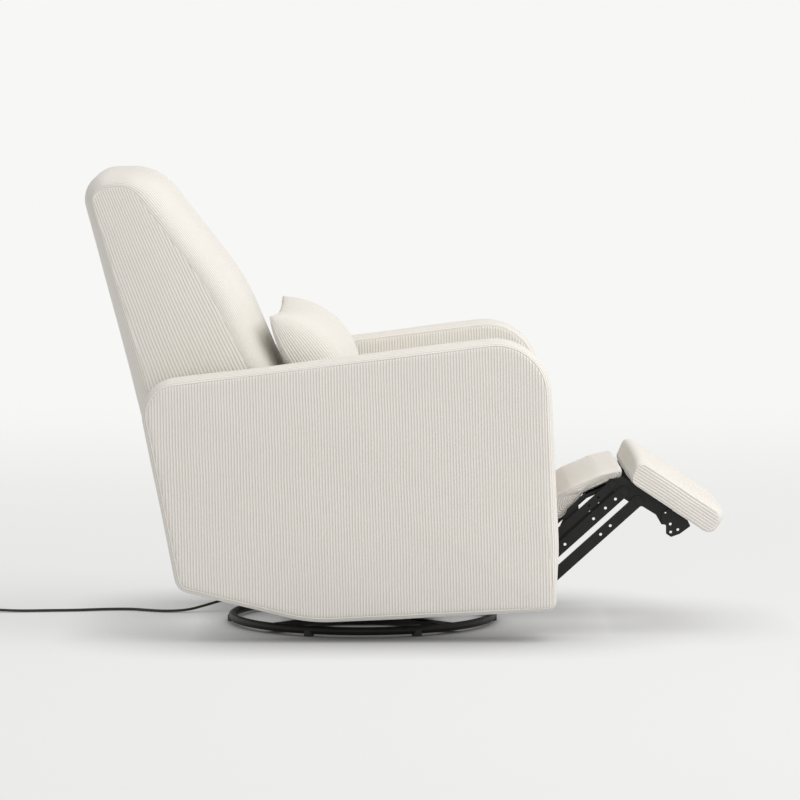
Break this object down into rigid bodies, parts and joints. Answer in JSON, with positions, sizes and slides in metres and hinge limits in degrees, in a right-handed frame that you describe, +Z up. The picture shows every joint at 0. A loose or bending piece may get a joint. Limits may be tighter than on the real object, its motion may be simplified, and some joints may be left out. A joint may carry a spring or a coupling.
{
  "type": "glider nursery chair",
  "caption": "Upholstered swivel glider with a powered reclining back, a fold-out footrest on steel links, a loose lumbar pillow and a ring base with a mains lead.",
  "frame": {"origin": "swivel axis where it meets the floor", "axes": "+X the way the sitter faces, +Y to the sitter's left, +Z up"},
  "size_m": [1.7392, 0.77, 1.0008],
  "materials": {
    "fabric": "ivory ribbed upholstery",
    "webbing": "woven elastic strap",
    "timber": "sawn plywood and pine",
    "black_steel": "black powder coat",
    "zinc_steel": "zinc plate",
    "black_plastic": "moulded",
    "cord_rubber": "smooth sheath"
  },
  "bodies": {
    "base": {"base_ring": "black_steel", "base_feet": "black_plastic", "base_cross": "black_steel", "swivel_balls": "zinc_steel", "kingpin": "zinc_steel", "power_inlet": "black_plastic", "power_cord": "cord_rubber", "cord_coil": "cord_rubber", "coil_tie": "black_plastic", "plug": "black_plastic"},
    "swivel": {"turntable": "black_steel", "stand_crossbars": "black_steel", "glider_uprights": "black_steel", "upper_glide_pins": "zinc_steel"},
    "front_glide": {"front_glide_links": "black_steel"},
    "rear_glide": {"rear_glide_links": "black_steel"},
    "seat": {"carriage_plates": "black_steel", "lower_glide_pins": "zinc_steel", "frame_bolts": "zinc_steel", "cross_rails": "timber", "side_rails": "timber", "seat_rails": "timber", "seat_webbing": "webbing", "seat_cushion": "fabric", "arm_boards": "timber", "arm_right": "fabric", "arm_left": "fabric", "switch_housing": "black_plastic", "rear_panel": "fabric", "pivot_bolts": "zinc_steel", "footrest_motor": "black_plastic", "back_motor": "black_plastic", "motor_hangers": "black_steel"},
    "rear_arms": {"rear_arms": "black_steel", "torque_tube": "black_steel", "rear_arm_rivets": "black_steel"},
    "upper_links": {"upper_links": "black_steel"},
    "middle_links": {"middle_links": "black_steel"},
    "lower_links": {"lower_links": "black_steel"},
    "footrest": {"footrest_brackets": "black_steel", "footrest_rivets": "black_steel", "footrest_board": "timber", "footrest_pad": "fabric"},
    "flap": {"flap_brackets": "black_steel", "flap_board": "black_steel", "flap_pad": "fabric"},
    "footrest_rod": {"footrest_rod": "zinc_steel"},
    "back_rod": {"back_rod": "zinc_steel"},
    "back": {"back_cushion": "fabric", "back_frame": "timber", "back_panel": "fabric", "back_base": "black_steel", "back_brackets": "black_steel", "back_lever": "black_steel"},
    "pillow": {"lumbar_pillow": "fabric"},
    "footrest_rocker": {"footrest_rocker": "black_plastic"},
    "back_rocker": {"back_rocker": "black_plastic"}
  },
  "joints": [
    {"name": "swivel_turn", "type": "hinge", "parent": "base", "child": "swivel", "pos_m": [0, 0, 0], "axis": [0, 0, 1], "continuous": true},
    {"name": "glide", "type": "hinge", "parent": "swivel", "child": "front_glide", "pos_m": [0.13, 0, 0.205], "axis": [0, -1, 0], "range_deg": [-28, 28]},
    {"name": "seat_level", "type": "hinge", "parent": "front_glide", "child": "seat", "pos_m": [0.13, 0, 0.08], "axis": [0, -1, 0], "range_deg": [-28, 28]},
    {"name": "rear_glide_swing", "type": "hinge", "parent": "swivel", "child": "rear_glide", "pos_m": [-0.13, 0, 0.205], "axis": [0, -1, 0], "range_deg": [-28, 28]},
    {"name": "footrest_lift", "type": "hinge", "parent": "seat", "child": "rear_arms", "pos_m": [0.2453, 0, 0.28969], "axis": [0, -1, 0], "range_deg": [-56.5, 30]},
    {"name": "upper_link_turn", "type": "hinge", "parent": "rear_arms", "child": "upper_links", "pos_m": [0.3446, 0, 0.15094], "axis": [0, -1, 0], "range_deg": [-30, 56.5]},
    {"name": "middle_link_turn", "type": "hinge", "parent": "rear_arms", "child": "middle_links", "pos_m": [0.3687, 0, 0.13499], "axis": [0, -1, 0], "range_deg": [-30, 56.5]},
    {"name": "lower_link_turn", "type": "hinge", "parent": "rear_arms", "child": "lower_links", "pos_m": [0.3993, 0, 0.11473], "axis": [0, -1, 0], "range_deg": [-30, 56.5]},
    {"name": "footrest_tilt", "type": "hinge", "parent": "middle_links", "child": "footrest", "pos_m": [0.5634, 0, 0.3103], "axis": [0, -1, 0], "range_deg": [-56.5, 30]},
    {"name": "flap_turn", "type": "hinge", "parent": "rear_arms", "child": "flap", "pos_m": [0.36527, 0, 0.15572], "axis": [0, -1, 0], "range_deg": [-30, 56.5]},
    {"name": "footrest_drive", "type": "slide", "parent": "seat", "child": "footrest_rod", "axis": [1, 0, 0], "range_m": [-0.0795, 0.0422]},
    {"name": "recline", "type": "hinge", "parent": "seat", "child": "back", "pos_m": [-0.29, 0, 0.365], "axis": [0, -1, 0], "range_deg": [-4, 28]},
    {"name": "back_drive", "type": "slide", "parent": "seat", "child": "back_rod", "axis": [1, 0, 0], "range_m": [-0.0113, 0.0788]},
    {"name": "pillow_lift", "type": "slide", "parent": "seat", "child": "pillow", "axis": [0, 0, 1], "range_m": [0, 0.3]},
    {"name": "footrest_rocker_tip", "type": "hinge", "parent": "seat", "child": "footrest_rocker", "pos_m": [0.234, -0.271, 0.56], "axis": [1, 0, 0], "range_deg": [-6, 6], "stiffness_Nm_per_rad": 0.4},
    {"name": "back_rocker_tip", "type": "hinge", "parent": "seat", "child": "back_rocker", "pos_m": [0.266, -0.271, 0.56], "axis": [1, 0, 0], "range_deg": [-6, 6], "stiffness_Nm_per_rad": 0.4}
  ],
  "couplings": [
    {"joint": "seat_level", "follows": "glide", "ratio": -1},
    {"joint": "rear_glide_swing", "follows": "glide", "ratio": 1},
    {"joint": "upper_link_turn", "follows": "footrest_lift", "ratio": -1},
    {"joint": "middle_link_turn", "follows": "footrest_lift", "ratio": -1},
    {"joint": "lower_link_turn", "follows": "footrest_lift", "ratio": -1},
    {"joint": "footrest_tilt", "follows": "footrest_lift", "ratio": 1},
    {"joint": "flap_turn", "follows": "footrest_lift", "ratio": -1},
    {"joint": "footrest_drive", "follows": "footrest_lift", "m_per_rad": 0.079},
    {"joint": "back_drive", "follows": "recline", "m_per_rad": 0.158}
  ]
}
